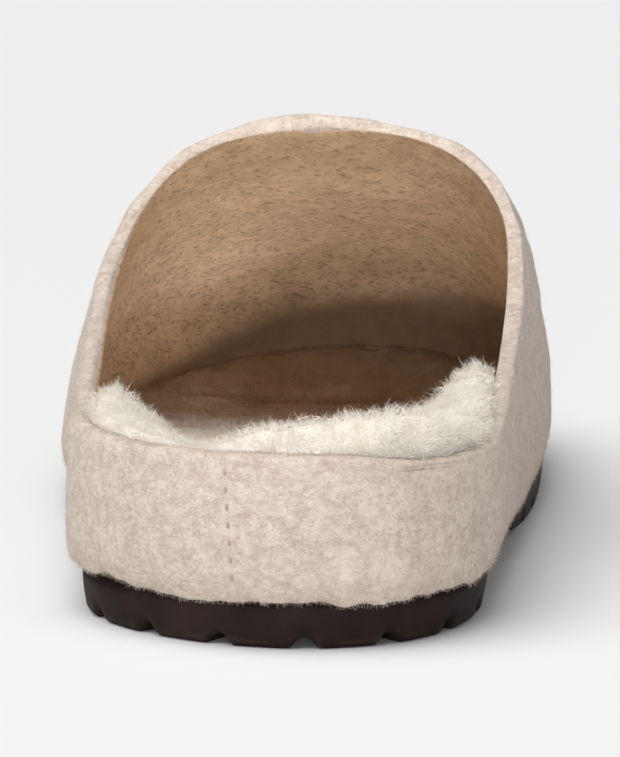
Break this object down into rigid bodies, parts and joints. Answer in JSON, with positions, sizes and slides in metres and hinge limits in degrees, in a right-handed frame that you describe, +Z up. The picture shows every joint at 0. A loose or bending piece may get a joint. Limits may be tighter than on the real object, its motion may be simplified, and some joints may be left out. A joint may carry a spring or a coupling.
{
  "type": "mule slipper",
  "caption": "Left closed-toe house mule with a thick wool felt upper, a low felt heel wall, a deep shearling footbed and a lugged dark outsole.",
  "frame": {"origin": "middle of the box around the shoe, on the floor", "axes": "+Y from heel to toe, +X to the medial side, +Z up from the tread"},
  "size_m": [0.0974, 0.2614, 0.077],
  "materials": {
    "sole": "matt moulded dark brown rubber",
    "felt": "heathered cream wool felt with a short nap",
    "shearling": "long cream wool pile"
  },
  "bodies": {
    "root": {"outsole": "sole", "upper": "felt", "insole": "shearling"}
  },
  "joints": []
}
